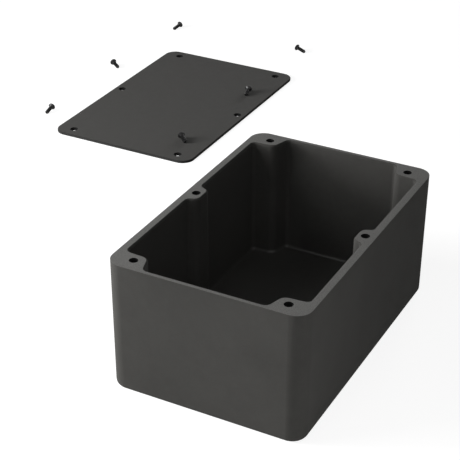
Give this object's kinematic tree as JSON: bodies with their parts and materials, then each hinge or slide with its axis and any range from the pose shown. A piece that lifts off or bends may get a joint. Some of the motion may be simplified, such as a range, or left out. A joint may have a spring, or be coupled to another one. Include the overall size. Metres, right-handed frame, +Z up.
{
  "type": "die cast aluminium enclosure",
  "caption": "Deep rectangular die cast electronics box with screw bosses in its walls, shown open, with its flat lid and countersunk lid screws lying beside it.",
  "frame": {"origin": "centre of the box's underside, on the surface that the box, the lid and the screws rest on", "axes": "+X across the box's short side, +Y along its long side towards the end beside which the lid lies, +Z up out of the open top"},
  "size_m": [0.3665, 0.5041, 0.0823],
  "materials": {
    "box_paint": "satin",
    "lid_paint": "satin",
    "screw_steel": "satin"
  },
  "bodies": {
    "root": {"enclosure_box": "box_paint", "lid": "lid_paint", "lid_screws": "screw_steel"}
  },
  "joints": []
}
